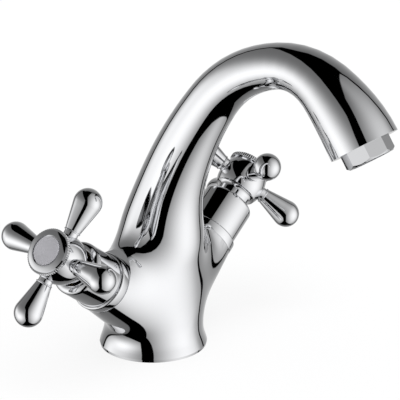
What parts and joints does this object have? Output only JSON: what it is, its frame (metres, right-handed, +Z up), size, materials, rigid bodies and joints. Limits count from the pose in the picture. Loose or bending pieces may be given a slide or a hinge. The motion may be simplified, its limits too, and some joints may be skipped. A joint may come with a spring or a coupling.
{
  "type": "bathroom mixer faucet",
  "caption": "Deck-mounted basin mixer with an arched fixed spout and two cross handles on angled side arms, each turning a quarter-turn ceramic valve.",
  "frame": {"origin": "centre of the foot's flat underside, on the deck plane", "axes": "+Z up from the deck; the spout reaches forward along -Y; the hot arm leans out along -X and the cold arm along +X"},
  "size_m": [0.1849, 0.1707, 0.1675],
  "materials": {
    "chrome": "polished",
    "brass": "machined",
    "ceramic": "lapped alumina ceramic",
    "rubber": "matte",
    "plastic": "matte",
    "steel": "brushed",
    "satin": "satin"
  },
  "bodies": {
    "faucet_body": {"body": "chrome", "base_gasket": "rubber", "aerator_housing": "chrome", "aerator_seal": "rubber", "aerator_insert": "plastic", "aerator_screen": "steel", "hot_seat_seal": "rubber", "cold_seat_seal": "rubber", "hot_fixed_disc": "ceramic", "cold_fixed_disc": "ceramic", "hot_valve_body": "brass", "cold_valve_body": "brass", "hot_face_ring": "rubber", "cold_face_ring": "rubber", "hot_thrust_washer": "plastic", "cold_thrust_washer": "plastic", "hot_trim_ring": "chrome", "cold_trim_ring": "chrome", "hot_shroud": "chrome", "cold_shroud": "chrome"},
    "hot_handle": {"hot_spindle": "brass", "hot_spindle_rings": "rubber", "hot_circlip": "steel", "hot_moving_disc": "ceramic", "hot_hub": "chrome", "hot_lobes": "chrome", "hot_handle_screw": "steel", "hot_cap": "chrome", "hot_index_disc": "satin"},
    "cold_handle": {"cold_spindle": "brass", "cold_spindle_rings": "rubber", "cold_circlip": "steel", "cold_moving_disc": "ceramic", "cold_hub": "chrome", "cold_lobes": "chrome", "cold_handle_screw": "steel", "cold_cap": "chrome", "cold_index_disc": "satin"}
  },
  "joints": [
    {"name": "hot_handle_turn", "type": "hinge", "parent": "faucet_body", "child": "hot_handle", "pos_m": [0, -0.0015, 0.0152], "axis": [-0.809, 0, 0.5878], "range_deg": [0, 90]},
    {"name": "cold_handle_turn", "type": "hinge", "parent": "faucet_body", "child": "cold_handle", "pos_m": [0, -0.0015, 0.0152], "axis": [-0.809, 0, -0.5878], "range_deg": [0, 90]}
  ]
}
